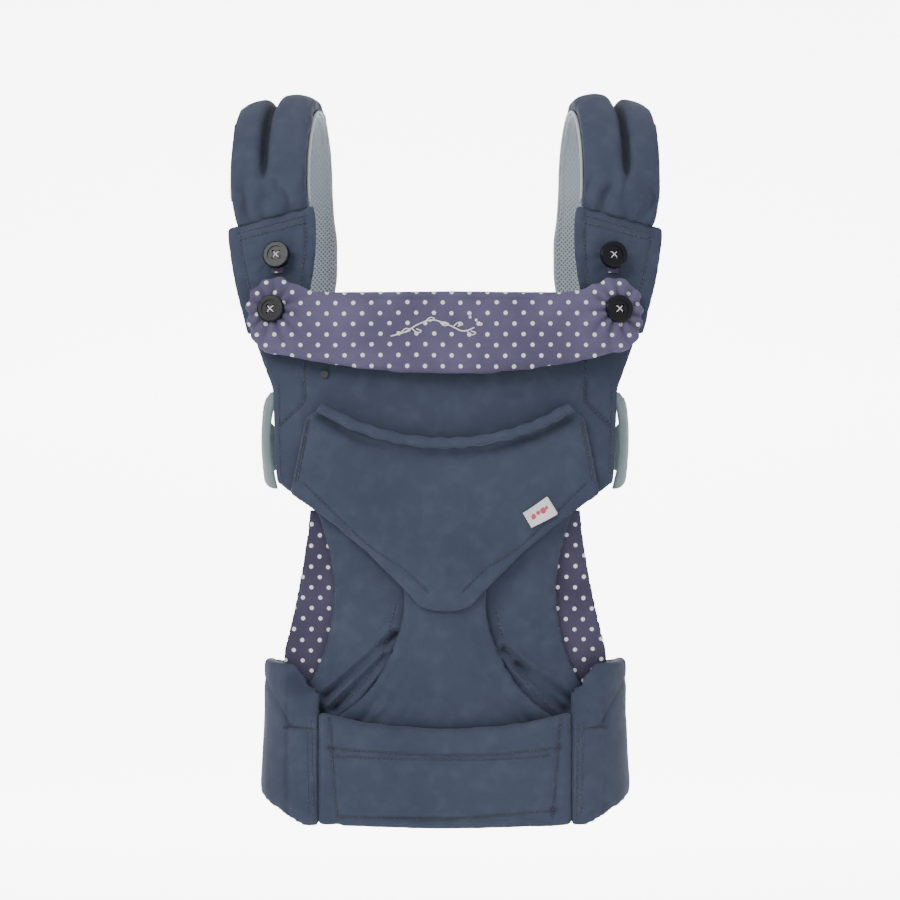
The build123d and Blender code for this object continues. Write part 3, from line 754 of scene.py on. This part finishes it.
class CARRIER_OT_thighs(bpy.types.Operator):
    """Thigh panels, dotted leg linings, strap bases and underarm wings"""

    bl_idname = "carrier.thighs"
    bl_label = "Thigh panels and linings"

    def execute(self, context):
        for name, side in SIDES.items():

            def thigh(co, normal):
                if normal.y > -0.2:
                    return 0.0
                x = abs(co.x)
                lower = min(1.0, max(0.0, (0.25 - co.z) / 0.12))
                push = 0.0014 * wrinkle(co, 13, (1, 1, 0.6), 5 + side)
                push += 0.0045 * bell(x - 0.085, 0.06) * (1 - 0.3 * lower)
                for line in PLEATS[name]:
                    push += fold(co.x, co.z, line, 0.0044, 0.0075)
                return push

            bm = remeshed([f"thigh_panel_{name}"], shape().fine_cell * 0.75)
            relax(bm, 2)
            sculpt(bm, thigh)
            relax(bm, 1)
            piece = finish_piece(bm, f"thigh_cloth_{name}", "twill", "carrier")
            remember(piece)
            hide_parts(f"thigh_panel_{name}")

            def lining(co, normal):
                return 0.0012 * wrinkle(co, 22, (1, 1, 0.5), 7 * side) * (1 if normal.y < 0 else -1)

            bm = remeshed([f"leg_lining_{name}"], shape().fine_cell * 0.6)
            relax(bm, 2)
            sculpt(bm, lining)
            for vertex in bm.verts:
                vertex.co.x += side * 0.006 * max(0.0, (abs(vertex.co.x) - 0.12) / 0.038)
            piece = finish_piece(bm, f"leg_lining_cloth_{name}", "lining", "carrier")
            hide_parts(f"leg_lining_{name}")

            def base(co, normal):
                if normal.y > -0.2:
                    return 0.0
                x = abs(co.x)
                push = 0.0010 * wrinkle(co, 20, (1, 1, 0.6), 11 * side)
                edge = min(x - 0.134, 0.216 - x - max(0.0, 0.6 - co.z) * 0.2)
                push -= 0.0012 * bell(edge - 0.009, 0.005)
                reach = hypot(x - UPPER_BUTTON[0], co.z - UPPER_BUTTON[1])
                spokes = 0.5 + 0.5 * sin(9 * atan2(co.z - UPPER_BUTTON[1], x - UPPER_BUTTON[0]))
                return push + 0.0014 * spokes * bell(reach - 0.018, 0.018) - 0.002 * bell(reach, 0.02)

            bm = remeshed([f"strap_base_{name}"], shape().fine_cell)
            relax(bm, 3)
            sculpt(bm, base)
            relax(bm, 1)
            for vertex in bm.verts:
                vertex.co.x += side * 0.005 * max(0.0, (abs(vertex.co.x) - 0.15) / 0.06)
            meet(bm, (0, 0, -1), 0.0008 - BASE_SEAM_Z, across=0, where=lambda co: co.z < 0.53)
            meet(bm, (side * 0.2425, 0, 0.970), HEM_REACH + 0.0008, across=0, where=lambda co: co.z > 0.57)
            piece = finish_piece(bm, f"strap_base_cloth_{name}", "twill", "carrier")
            remember(piece)
            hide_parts(f"strap_base_{name}")

            bm = remeshed([f"underarm_wing_{name}"], 0.0013)
            relax(bm, 2)
            sculpt(bm, lambda co, normal: 0.0006 * wrinkle(co, 40, seed=3))
            for vertex in bm.verts:
                share = sin(pi * max(0.0, min(1.0, (vertex.co.z - 0.340) / 0.102)))
                root = smooth_share((-0.062 - vertex.co.y) / 0.024)
                vertex.co += Vector((side * (0.004 * share - 0.004 * root * (1 - share)), -0.004 * root, 0))
            piece = finish_piece(bm, f"underarm_cloth_{name}", "wing", "carrier")
            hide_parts(f"underarm_wing_{name}")
        return {"FINISHED"}


class CARRIER_OT_piping(bpy.types.Operator):
    """The rolled edge over the pocket's mouth"""

    bl_idname = "carrier.piping"
    bl_label = "Pocket piping"

    def execute(self, context):
        bm = remeshed(["pocket_piping"], 0.0014)
        relax(bm, 3)

        def roll(co, normal):
            twist = sin((co.x * 1.1 + co.z * 0.4) * 260 + 3 * noise.noise(co * 30))
            return 0.0006 * twist + 0.0008 * wrinkle(co, 50, (0.4, 1, 1), 6)

        sculpt(bm, roll)
        piece = finish_piece(bm, "piping_cloth", "twill", "carrier")
        remember(piece)
        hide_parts("pocket_piping")
        return {"FINISHED"}


# ---- head support --------------------------------------------------------------------
LOWER_BUTTON = (0.174, 0.522)


class CARRIER_OT_head_support(bpy.types.Operator):
    """The dotted head support, gathered round its two buttons, with a stitched motif"""

    bl_idname = "carrier.head_support"
    bl_label = "Head support"

    def execute(self, context):
        bm = remeshed(["head_support_cover"], shape().pad_cell, shape().pressure, 0.004)
        relax(bm, 3)
        bmesh.ops.subdivide_edges(bm, edges=bm.edges, cuts=1, use_grid_fill=True, smooth=0.2)

        def gathers(co, normal):
            front = normal.y < -0.1
            x = abs(co.x)
            dx, dz = x - LOWER_BUTTON[0], co.z - LOWER_BUTTON[1]
            reach = hypot(dx, dz)
            angle = atan2(dz, dx)
            near = bell(reach, 0.075)
            spokes = sin(11 * angle + 2.5 * noise.noise(Vector((co.x * 20, 0, co.z * 20))))
            push = 0.0026 * spokes * near * min(1.0, reach / 0.012)
            push += 0.0021 * wrinkle(co, 17, (0.45, 1, 1.5), 1) + 0.0006 * wrinkle(co, 50, seed=8)
            if front:
                push -= 0.0035 * bell(reach, 0.020)
                middle = max(0.0, 1 - (x / 0.15) ** 4)
                push += 0.0022 * middle * max(0.0, 1 - ((co.z - 0.498) / 0.036) ** 2)
                push -= 0.0012 * bell(co.z - 0.5325 - 0.1 * max(0.0, x - 0.12), 0.005) * middle
            return push

        sculpt(bm, gathers)
        relax(bm, 1)
        piece = finish_piece(bm, "head_support_cloth", "dotted", "head_support")
        remember(piece)
        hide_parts("head_support_cover", "head_support_foam")

        place = laid_on(["head_support_cloth"], 0.0004)
        bm = bmesh.new()
        stem = [(-54, 494), (-40, 498), (-26, 506), (-12, 510), (4, 505), (18, 499), (30, 503)]
        tube(bm, [tuple(place(x * MM, z * MM)) for x, z in stem], 0.0007)
        leaves = ((-44, 497, 1), (-33, 502, -1), (-20, 508, 1), (-6, 509, -1), (8, 503, 1), (21, 500, -1))
        for x, z, lean in leaves:
            leaf = [(x, z), (x + 5, z + 4.5 * lean), (x + 10, z + 3.0 * lean), (x + 4, z + 0.6 * lean)]
            tube(bm, [tuple(place(a * MM, b * MM)) for a, b in leaf], 0.0006)
        for x, z in ((36, 506), (31, 510), (25, 513)):
            bud = Matrix.Translation(place(x * MM, z * MM))
            bmesh.ops.create_uvsphere(bm, u_segments=10, v_segments=6, radius=0.0016, matrix=bud)
        finish_piece(bm, "twig_motif", "silver", "head_support")
        return {"FINISHED"}


# ---- waist belt ----------------------------------------------------------------------
BELT_LINES = [
    mm_line([(-118, 82), (-60, 78), (-8, 76), (60, 77), (116, 83)]),
    mm_line([(-108, 74), (-50, 72), (0, 71.5), (60, 72), (106, 75)]),
    mm_line([(-104, 14), (0, 12), (112, 20)]),
]
BELT_SIDES = both_sides([(-116, 112), (-112, 60), (-108, 12)])


class CARRIER_OT_belt(bpy.types.Operator):
    """The padded waist belt: front, with its stitched channels, and the two wings"""

    bl_idname = "carrier.belt"
    bl_label = "Waist belt"

    def execute(self, context):
        def front(co, normal):
            if normal.y > -0.2:
                return 0.0
            push = 0.0011 * wrinkle(co, 13, (0.5, 1, 1.2), 2) + 0.0004 * wrinkle(co, 42, seed=5)
            for line in BELT_LINES:
                push -= 0.0016 * bell(to_line(co.x, co.z, line), 0.006)
            for line in BELT_SIDES:
                push -= 0.0016 * bell(to_line(co.x, co.z, line), 0.006)
            crown = max(0.0, 1 - ((co.z - 0.045) / 0.034) ** 2) * max(0.0, 1 - (co.x / 0.115) ** 4)
            return push + 0.0020 * crown

        bm = remeshed(["belt_cover"], shape().pad_cell * 0.8, shape().pressure, 0.0025)
        relax(bm, 3)
        sculpt(bm, front)
        relax(bm, 1)
        meet(bm, (1, 0, 0), 0.1275)
        meet(bm, (-1, 0, 0), 0.1275)
        piece = finish_piece(bm, "belt_cloth", "twill", "carrier")
        remember(piece)
        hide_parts("belt_cover", "belt_foam")

        for name, side in SIDES.items():
            low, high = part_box(f"belt_wing_{name}")

            def wing(co, normal):
                push = 0.0018 * wrinkle(co, 12, (1, 1, 0.6), 5 * side) + 0.0005 * wrinkle(co, 40, seed=1)
                share = (co.y - low.y) / (high.y - low.y)
                top = 0.118 + 0.05 * min(1.0, share * 4) - 0.033 * share
                push -= 0.0014 * bell(co.z - top + 0.012, 0.006)
                return push - 0.0012 * bell(co.y - low.y - 0.012, 0.006)

            bm = remeshed([f"belt_wing_{name}"], shape().pad_cell, shape().pressure, 0.003)
            relax(bm, 3)
            sculpt(bm, wing)
            relax(bm, 1)
            for vertex in bm.verts:
                low_share = bell(vertex.co.y + 0.055, 0.11) * min(1.0, max(0.0, (0.11 - vertex.co.z) / 0.06))
                vertex.co += Vector((side * 0.005, 0, -0.019)) * low_share
                if vertex.co.z > 0.105 and vertex.co.y < -0.092:
                    vertex.co.z -= 0.010 * min(1.0, (-0.092 - vertex.co.y) / 0.008)
            meet(bm, (-side, 0, 0), -0.1264, where=lambda co: co.y < -0.085)
            piece = finish_piece(bm, f"belt_wing_cloth_{name}", "twill", f"belt_wing_{name}")
            remember(piece)
            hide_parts(f"belt_wing_{name}")
        return {"FINISHED"}


# ---- shoulder straps -----------------------------------------------------------------
STRAP_X = 0.176
STRAP_FRONT_Y = front_y(STRAP_X, 0.609)
STRAP_TURN = radians(7.0)
ARCH_RADIUS = 0.080
ARCH_Z = 0.657
BEND_Z = 0.520
BEND_RADIUS = 0.068
BEND_Y = 0.092
STRAP_HALF = 0.040


def strap_frame(side):
    """From the strap's own frame to the carrier's."""
    return Matrix.Translation((side * STRAP_X, STRAP_FRONT_Y, 0)) @ Matrix.Rotation(side * STRAP_TURN, 4, "Z")


def along_strap(local):
    """(way along the strap from its front end, depth under its outer face, outward direction)."""
    y, z = local.y, local.z
    if z >= ARCH_Z:
        out = Vector((0, y - ARCH_RADIUS, z - ARCH_Z))
        angle = atan2(z - ARCH_Z, ARCH_RADIUS - y)
        return ARCH_Z - 0.6 + angle * ARCH_RADIUS, ARCH_RADIUS - out.length, out.normalized()
    half_turn = pi * ARCH_RADIUS + ARCH_Z - 0.6
    if y < ARCH_RADIUS:
        if z > 0.56:
            return z - 0.6, y, Vector((0, -1, 0))
    if z >= BEND_Z:
        return half_turn + ARCH_Z - z, 2 * ARCH_RADIUS - y, Vector((0, 1, 0))
    out = Vector((0, y - BEND_Y, z - BEND_Z))
    angle = min(pi / 4, max(0.0, atan2(BEND_Z - z, y - BEND_Y)))
    normal = Vector((0, cos(angle), -sin(angle)))
    return half_turn + ARCH_Z - BEND_Z + angle * BEND_RADIUS, BEND_RADIUS - out.dot(normal), normal


class CARRIER_OT_straps(bpy.types.Operator):
    """The padded shoulder straps: two lengthwise lobes outside, air mesh inside"""

    bl_idname = "carrier.straps"
    bl_label = "Shoulder straps"

    def execute(self, context):
        for name, side in SIDES.items():
            place = strap_frame(side)
            back = place.inverted()
            body = f"strap_{name}"

            def dressed(co):
                """Settles a point: higher inner lobe, padding that narrows towards its buckle."""
                local = back @ co
                outward = max(0.0, side * local.x) / STRAP_HALF
                rise = max(0.0, (co.z - 0.62) / 0.117)
                if local.y > 0.09:
                    taper = smooth_share((0.575 - local.z) / 0.085)
                    middle = -side * 0.010
                    local.x = middle * taper + (local.x - middle * taper) * (1 - 0.36 * taper)
                settled = place @ local
                settled.z += rise**2 * (0.013 - 0.010 * outward)
                settled.x += side * 0.005 * smooth_share((co.z - 0.60) / 0.05)
                return settled

            def lobes(co, normal):
                local = back @ co
                way, depth, out = along_strap(local)
                facing = (place.to_3x3() @ out).dot(normal)
                across = -side * local.x  # positive towards the inner edge
                split = across + 0.002 + 0.003 * sin(way * 14)
                outer = smooth_share(facing)
                front = smooth_share((way - 0.045) / 0.04)
                if local.y > ARCH_RADIUS:
                    front = 1 - smooth_share((0.68 - local.z) / 0.05)
                push = -0.0095 * bell(split, 0.011) * outer * front
                lobe = max(0.0, 1 - (abs(abs(split) - 0.020) / 0.022) ** 2)
                push += 0.0046 * lobe * outer * front
                pucker = bell(way - 0.040, 0.045) if local.y < ARCH_RADIUS else 0.0
                push += 0.0022 * pucker * sin(across * 300 + 3 * noise.noise(co * 40)) * outer
                push += 0.0030 * bell(hypot(split + 0.004, way - 0.045), 0.026) * outer
                push += 0.0018 * wrinkle(co, 16, seed=2 * side) + 0.0006 * wrinkle(co, 50, seed=1)
                return push

            nodes = [f"strap_cover_{name}", f"strap_foam_{name}"]
            bm = remeshed(nodes, shape().pad_cell, shape().pressure, 0.0022)
            relax(bm, 4)
            bmesh.ops.subdivide_edges(bm, edges=bm.edges, cuts=1, use_grid_fill=True, smooth=0.2)
            sculpt(bm, lobes)
            relax(bm, 1)
            for vertex in bm.verts:
                vertex.co = dressed(vertex.co)
            hem = (-side * 0.2425, 0, -0.970)
            meet(bm, hem, 0.0008 - HEM_REACH, across=0, where=lambda co: co.y < -0.045 and co.z < 0.66)
            piece = finish_piece(bm, f"strap_pad_{name}", "twill", body)
            remember(piece)
            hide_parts(*nodes)

            def lining(co, normal):
                local = back @ co
                edge = STRAP_HALF - abs(local.x)
                return 0.0008 * wrinkle(co, 26, seed=4) - 0.0014 * bell(edge - 0.005, 0.004)

            bm = remeshed([f"strap_mesh_{name}"], 0.0018)
            relax(bm, 2)
            sculpt(bm, lining)
            for vertex in bm.verts:
                vertex.co = dressed(vertex.co)
            meet(bm, hem, 0.0008 - HEM_REACH, across=0, where=lambda co: co.y < -0.045 and co.z < 0.66)
            piece = finish_piece(bm, f"strap_lining_{name}", "mesh", body)
            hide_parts(f"strap_mesh_{name}")

            # pale piping along both edges, between the cover and the lining
            bm = bmesh.new()
            depth = 0.0115
            reach = ARCH_RADIUS - depth
            for edge in (-STRAP_HALF, STRAP_HALF):
                run = [(edge, depth, 0.636 + 0.005 * step) for step in range(4)]
                for step in range(13):
                    angle = pi * step / 12
                    run.append((edge, ARCH_RADIUS - reach * cos(angle), ARCH_Z + reach * sin(angle)))
                run += [(edge, 2 * ARCH_RADIUS - depth, 0.63 - 0.022 * step) for step in range(5)]
                tube(bm, [tuple(dressed(place @ Vector(point))) for point in run], 0.0016, 6)
            finish_piece(bm, f"strap_piping_{name}", "piping", body)
        return {"FINISHED"}


class CARRIER_OT_webbing(bpy.types.Operator):
    """Woven webbing at the back: side straps, chest strap, its rails and the belt's"""

    bl_idname = "carrier.webbing"
    bl_label = "Webbing"

    def execute(self, context):
        for node, body, width in (
            *((f"side_webbing_{name}", f"side_plug_{name}", 0.025) for name in SIDES),
            *((f"chest_rail_{name}", f"strap_{name}", 0.020) for name in SIDES),
            ("chest_webbing_left", "chest_plug", 0.020),
            ("chest_webbing_right", "chest_slider_right", 0.020),
            ("belt_webbing_left", "belt_wing_left", 0.038),
            ("belt_webbing_right", "belt_plug", 0.038),
        ):
            bm = remeshed([node], 0.0008)
            relax(bm, 1)
            sculpt(bm, lambda co, normal: 0.0003 * wrinkle(co, 90, seed=width))
            area = sum(face.calc_area() for face in bm.faces) / 2
            piece = finish_piece(bm, f"{node}_woven", "webbing", body)
            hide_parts(node)
            area / width
        return {"FINISHED"}


# ---- trim ----------------------------------------------------------------------------
class CARRIER_OT_buttons(bpy.types.Operator):
    """Thread through the four buttons, their cloth loops and the label"""

    bl_idname = "carrier.buttons"
    bl_label = "Buttons and label"

    def execute(self, context):
        hole = 0.00325
        for row in ("upper", "lower"):
            for name in SIDES:
                node = f"{row}_button_{name}"
                NODES[node].data.materials.clear()
                NODES[node].data.materials.append(MATERIALS["resin"])
                low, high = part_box(node)
                centre = (low + high) / 2
                tilt = (centre.z - BULGE_Z) / BULGE_RADIUS
                across = centre.x / FRONT_RADIUS
                out = Vector((across, -1, tilt)).normalized()
                turn = out.to_track_quat("Z", "X").to_matrix().to_4x4()
                face = Matrix.Translation(centre + out * 0.0008) @ turn
                bm = bmesh.new()
                for x, z in ((-hole, -hole), (hole, hole), (-hole, hole), (hole, -hole)):
                    run = [
                        (x, z, -0.004),
                        (x * 0.8, z * 0.8, 0.0011),
                        (0, 0, 0.0018),
                        (-x * 0.8, -z * 0.8, 0.0011),
                        (-x, -z, -0.004),
                    ]
                    tube(bm, [tuple(face @ Vector(point)) for point in run], 0.0005, 6)
                bmesh.ops.create_cone(
                    bm, cap_ends=True, segments=12, radius1=0.0026, radius2=0.0018, depth=0.005,
                    matrix=Matrix.Translation(centre - out * 0.0042) @ turn,
                )
                finish_piece(bm, f"{row}_button_thread_{name}", "silver", node)
        for name in SIDES:
            node = f"button_loop_{name}"
            bm = remeshed([node], 0.0008)
            relax(bm, 2)
            sculpt(bm, lambda co, normal: 0.0005 * wrinkle(co, 120, seed=2))
            piece = finish_piece(bm, f"button_loop_cloth_{name}", "dotted", "carrier")
            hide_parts(node)

        bm = remeshed(["side_label"], 0.0006)
        relax(bm, 2)
        sculpt(bm, lambda co, normal: 0.0012 * sin((co.x - 0.094) * 90))
        piece = finish_piece(bm, "side_label_tape", "tape", "carrier")
        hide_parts("side_label")
        remember(piece)
        place = laid_on(["side_label_tape"], 0.0)
        bm = bmesh.new()
        for x, z, size in ((-6, -3.5, 3.0), (-1, 0.2, 2.2), (4, 2.6, 3.2), (7.5, 5.5, 1.8)):
            spot = place((94 + x) * MM, (318 + z) * MM)
            made = bmesh.ops.create_uvsphere(
                bm, u_segments=14, v_segments=8, radius=size * MM, matrix=Matrix.Translation(spot)
            )
            bmesh.ops.scale(
                bm, vec=(1, 0.16, 1), space=Matrix.Translation(-spot), verts=made["verts"]
            )
        motif = finish_piece(bm, "label_motif", "motif", "carrier")
        return {"FINISHED"}


SHIELD_EDGE = both_sides([(-139, 408), (-151, 348)])
CHEST_SIDES = both_sides([(-168, 446), (-167, 400), (-166, 356)]) + both_sides([(-142, 452), (-142, 490)])
BASE_LINES = [
    [(209, 600), (206, 576), (190, 508)],
    [(142, 612), (141, 596), (146, 548)],
    [(211, 603), (176, 611), (142, 620)],
    [(209, 596), (176, 604), (143, 612)],
]
WING_LINES = [[(134, 108), (133, 60), (132, 12)], [(139, 106), (138, 60), (137, 14)]]


class CARRIER_OT_stitching(bpy.types.Operator):
    """Rows of stitches along the seams and hems"""

    bl_idname = "carrier.stitching"
    bl_label = "Stitching"

    def execute(self, context):
        front = ["shield_cloth", "piping_cloth", "chest_panel_cloth", "seat_cloth", "belt_cloth"]
        stitches("shield_stitches", SHIELD_STITCH + SHIELD_BAND + SHIELD_EDGE, front)
        stitches("belt_stitches", BELT_LINES + BELT_SIDES, ["belt_cloth"])
        stitches("chest_stitches", CHEST_SEAMS + CHEST_SIDES, front)
        for name, side in SIDES.items():
            lines = [[(side * x * MM, z * MM) for x, z in line] for line in BASE_LINES]
            stitches(f"base_stitches_{name}", lines, [f"strap_base_cloth_{name}"])
            line = [(side * x * MM, z * MM) for x, z in ((50, 224), (62, 180), (82, 146), (108, 120))]
            stitches(f"thigh_stitches_{name}", [line], [f"thigh_cloth_{name}", "seat_cloth"])
            lines = [[(side * x * MM, z * MM) for x, z in line] for line in WING_LINES]
            stitches(
                f"wing_stitches_{name}", lines, [f"belt_wing_cloth_{name}"], body=f"belt_wing_{name}"
            )
        return {"FINISHED"}


class CARRIER_OT_hardware(bpy.types.Operator):
    """Materials of the buckles, ladder locks, sliders, stud and foam"""

    bl_idname = "carrier.hardware"
    bl_label = "Hardware"

    def execute(self, context):
        hard = ("socket", "plug", "prong", "ladder", "slider", "snap")
        for name, node in NODES.items():
            material = None
            if "foam" in name:
                material = "foam"
            elif any(word in name for word in hard):
                material = "plastic"
            if material:
                node.data.materials.clear()
                node.data.materials.append(MATERIALS[material])
        return {"FINISHED"}


# ---- stage ---------------------------------------------------------------------------
class CARRIER_OT_stage(bpy.types.Operator):
    """A plain pale floor that runs up behind, soft light and the front camera"""

    bl_idname = "carrier.stage"
    bl_label = "Stage"

    def execute(self, context):
        settings = context.scene.carrier_stage
        floor_z = -0.30
        wall_y = 2.6
        sweep = 0.8
        bm = bmesh.new()
        bmesh.ops.create_grid(
            bm, x_segments=1, y_segments=1, size=1.0,
            matrix=Matrix.Translation((0, wall_y - sweep - 5, floor_z)) @ Matrix.Diagonal((9, 5, 1, 1)),
        )
        rear = [e for e in bm.edges if all(v.co.y > wall_y - sweep - 0.01 for v in e.verts)]
        bmesh.ops.spin(
            bm, geom=rear, cent=(0, wall_y - sweep, floor_z + sweep), axis=(1, 0, 0), angle=pi / 2, steps=16
        )
        top = [e for e in bm.edges if all(v.co.z > floor_z + sweep - 0.01 for v in e.verts)]
        wall = bmesh.ops.extrude_edge_only(bm, edges=top)
        verts = [item for item in wall["geom"] if isinstance(item, bmesh.types.BMVert)]
        bmesh.ops.translate(bm, vec=(0, 0, 7), verts=verts)
        bmesh.ops.recalc_face_normals(bm, faces=bm.faces)
        mesh = bpy.data.meshes.new("backdrop")
        bm.to_mesh(mesh)
        bm.free()
        for polygon in mesh.polygons:
            polygon.use_smooth = True
        backdrop = bpy.data.objects.new("backdrop", mesh)
        context.scene.collection.objects.link(backdrop)
        paper = Shader("backdrop_paper", 0.95)
        paper.colour((0.93, 0.93, 0.94))
        across, far, up = paper.axes()
        window = paper.ramp(far, 0.6, 1.1) * (1.0 - paper.ramp(across.math("ABSOLUTE"), 1.15, 2.0))
        window = window * (1.0 - paper.ramp(up, 1.5, 2.4))
        glow = paper.mix(window, (0.03, 0.03, 0.03), (1, 1, 1))
        connect(paper.tree, glow, paper.surface.inputs["Emission Color"])
        paper.surface.inputs["Emission Strength"].default_value = 6.0
        mesh.materials.append(paper.material)

        world = bpy.data.worlds.new("soft_white")
        world.use_nodes = True
        world.node_tree.nodes["Background"].inputs[0].default_value = (1, 1, 1, 1)
        world.node_tree.nodes["Background"].inputs[1].default_value = 0.62
        context.scene.world = world
        lights = (
            ("key_light", (-1.5, -2.2, 2.1), 1.4, 58),
            ("fill_light", (1.7, -2.0, 0.6), 2.2, 12),
            ("top_light", (0.2, -0.6, 2.6), 1.6, 14),
        )
        for name, spot, size, power in lights:
            data = bpy.data.lights.new(name, "AREA")
            data.size = size
            data.energy = power
            lamp = bpy.data.objects.new(name, data)
            lamp.location = spot
            aim = Vector((0, 0, 0.38)) - Vector(spot)
            lamp.rotation_euler = aim.to_track_quat("-Z", "Y").to_euler()
            context.scene.collection.objects.link(lamp)

        data = bpy.data.cameras.new("front_camera")
        data.sensor_width = 36.0
        data.lens = data.sensor_width * settings.distance / settings.field
        camera = bpy.data.objects.new("front_camera", data)
        panel_y = front_y(0, BULGE_Z)
        camera.location = (settings.aim_x, panel_y - settings.distance, settings.aim_z)
        camera.rotation_euler = (pi / 2, 0, 0)
        context.scene.collection.objects.link(camera)
        context.scene.camera = camera
        return {"FINISHED"}


STEPS = (
    "stage",
    "hardware",
    "panels",
    "thighs",
    "piping",
    "head_support",
    "belt",
    "straps",
    "webbing",
    "buttons",
    "stitching",
)


class CARRIER_PT_steps(bpy.types.Panel):
    """Lists the carrier's pieces"""

    bl_label = "Soft Baby Carrier"
    bl_idname = "CARRIER_PT_steps"
    bl_space_type = "VIEW_3D"
    bl_region_type = "UI"
    bl_category = "Carrier"

    def draw(self, context):
        for step in STEPS:
            self.layout.operator(f"carrier.{step}")
        for group in ("carrier_cloth", "carrier_shape", "carrier_stage"):
            settings = getattr(context.scene, group)
            for name in settings.__annotations__:
                self.layout.prop(settings, name)


GROUPS = {
    "carrier_cloth": CarrierClothSettings,
    "carrier_shape": CarrierShapeSettings,
    "carrier_stage": CarrierStageSettings,
}
CLASSES = (
    *GROUPS.values(),
    CARRIER_OT_stage,
    CARRIER_OT_hardware,
    CARRIER_OT_panels,
    CARRIER_OT_thighs,
    CARRIER_OT_piping,
    CARRIER_OT_head_support,
    CARRIER_OT_belt,
    CARRIER_OT_straps,
    CARRIER_OT_webbing,
    CARRIER_OT_buttons,
    CARRIER_OT_stitching,
    CARRIER_PT_steps,
)


def register():
    for item in CLASSES:
        bpy.utils.register_class(item)
    for name, group in GROUPS.items():
        setattr(bpy.types.Scene, name, bpy.props.PointerProperty(type=group))


def unregister():
    for name in GROUPS:
        delattr(bpy.types.Scene, name)
    for item in reversed(CLASSES):
        bpy.utils.unregister_class(item)


def main():
    register()
    make_materials()
    for step in STEPS:
        getattr(bpy.ops.carrier, step)()


if __name__ == "__main__":
    main()
